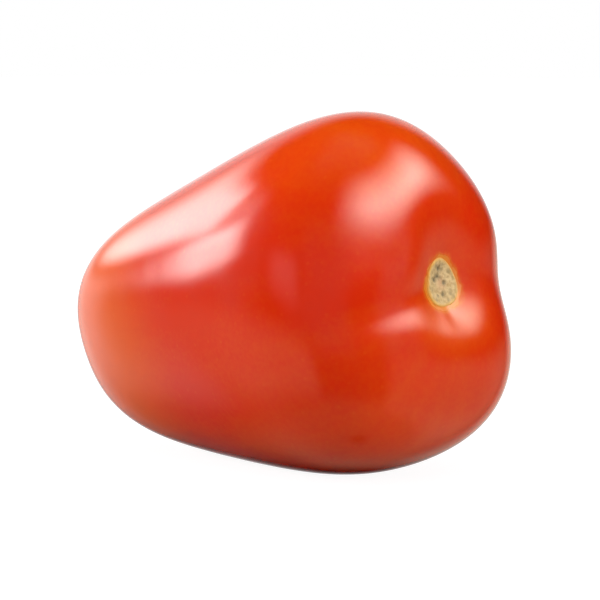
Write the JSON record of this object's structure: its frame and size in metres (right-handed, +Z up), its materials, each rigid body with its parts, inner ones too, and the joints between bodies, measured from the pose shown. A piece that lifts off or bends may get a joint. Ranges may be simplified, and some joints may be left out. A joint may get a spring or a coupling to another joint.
{
  "type": "plum tomato",
  "caption": "Whole ripe plum tomato lying on its side, with lobed shoulders, a shallow stem cavity and a corky stem scar.",
  "frame": {"origin": "middle of the small flat spot that the fruit rests on", "axes": "+X towards the stem end along the fruit's length, +Z up"},
  "size_m": [0.0777, 0.0501, 0.0573],
  "materials": {
    "skin": "smooth glossy ripe tomato skin"
  },
  "bodies": {
    "root": {"fruit": "skin"}
  },
  "joints": []
}
